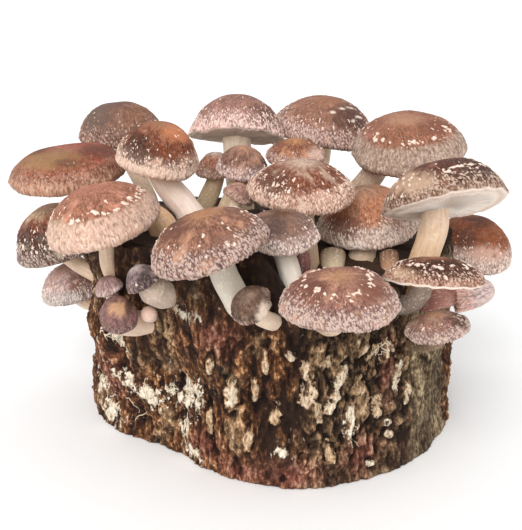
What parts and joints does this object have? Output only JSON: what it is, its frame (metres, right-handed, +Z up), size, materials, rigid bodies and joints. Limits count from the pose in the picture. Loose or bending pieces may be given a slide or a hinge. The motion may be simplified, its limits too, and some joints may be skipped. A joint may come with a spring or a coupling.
{
  "type": "shiitake log",
  "caption": "short upright log section with rough bark, crowded on its cut end and upper sides with shiitake; it stands on its flat sawn base",
  "frame": {"origin": "centre of the log's sawn base, on the surface it stands on", "axes": "+Z up along the log, -Y the pictured front, +X to the right seen from the front"},
  "size_m": [0.3121, 0.2779, 0.1858],
  "materials": {
    "bark_wood": "matte",
    "cap_skin": "satin",
    "stem_flesh": "matte"
  },
  "bodies": {
    "root": {"log": "bark_wood", "cap_back_left": "cap_skin", "stem_back_left": "stem_flesh", "cap_upper_left": "cap_skin", "stem_upper_left": "stem_flesh", "cap_far_left": "cap_skin", "stem_far_left": "stem_flesh", "cap_left": "cap_skin", "stem_left": "stem_flesh", "cap_outer_left": "cap_skin", "stem_outer_left": "stem_flesh", "cap_front_left": "cap_skin", "stem_front_left": "stem_flesh", "cap_low_left": "cap_skin", "stem_low_left": "stem_flesh", "cap_button_front": "cap_skin", "stem_button_front": "stem_flesh", "cap_button_upper": "cap_skin", "stem_button_upper": "stem_flesh", "cap_button_left": "cap_skin", "stem_button_left": "stem_flesh", "cap_button_behind": "cap_skin", "stem_button_behind": "stem_flesh", "cap_back_middle": "cap_skin", "stem_back_middle": "stem_flesh", "cap_inner_left": "cap_skin", "stem_inner_left": "stem_flesh", "cap_inner_middle": "cap_skin", "stem_inner_middle": "stem_flesh", "cap_inner_low": "cap_skin", "stem_inner_low": "stem_flesh", "cap_top_small": "cap_skin", "stem_top_small": "stem_flesh", "cap_middle": "cap_skin", "stem_middle": "stem_flesh", "cap_back_right": "cap_skin", "stem_back_right": "stem_flesh", "cap_upper_right": "cap_skin", "stem_upper_right": "stem_flesh", "cap_right": "cap_skin", "stem_right": "stem_flesh", "cap_middle_right": "cap_skin", "stem_middle_right": "stem_flesh", "cap_far_right": "cap_skin", "stem_far_right": "stem_flesh", "cap_middle_low": "cap_skin", "stem_middle_low": "stem_flesh", "cap_front_right": "cap_skin", "stem_front_right": "stem_flesh", "cap_lower_right": "cap_skin", "stem_lower_right": "stem_flesh", "cap_outer_right": "cap_skin", "stem_outer_right": "stem_flesh", "cap_low_right": "cap_skin", "stem_low_right": "stem_flesh", "bud_left": "cap_skin", "bud_middle": "cap_skin", "bud_tucked": "cap_skin", "bud_inner_left": "cap_skin", "bud_inner_right": "cap_skin"}
  },
  "joints": []
}
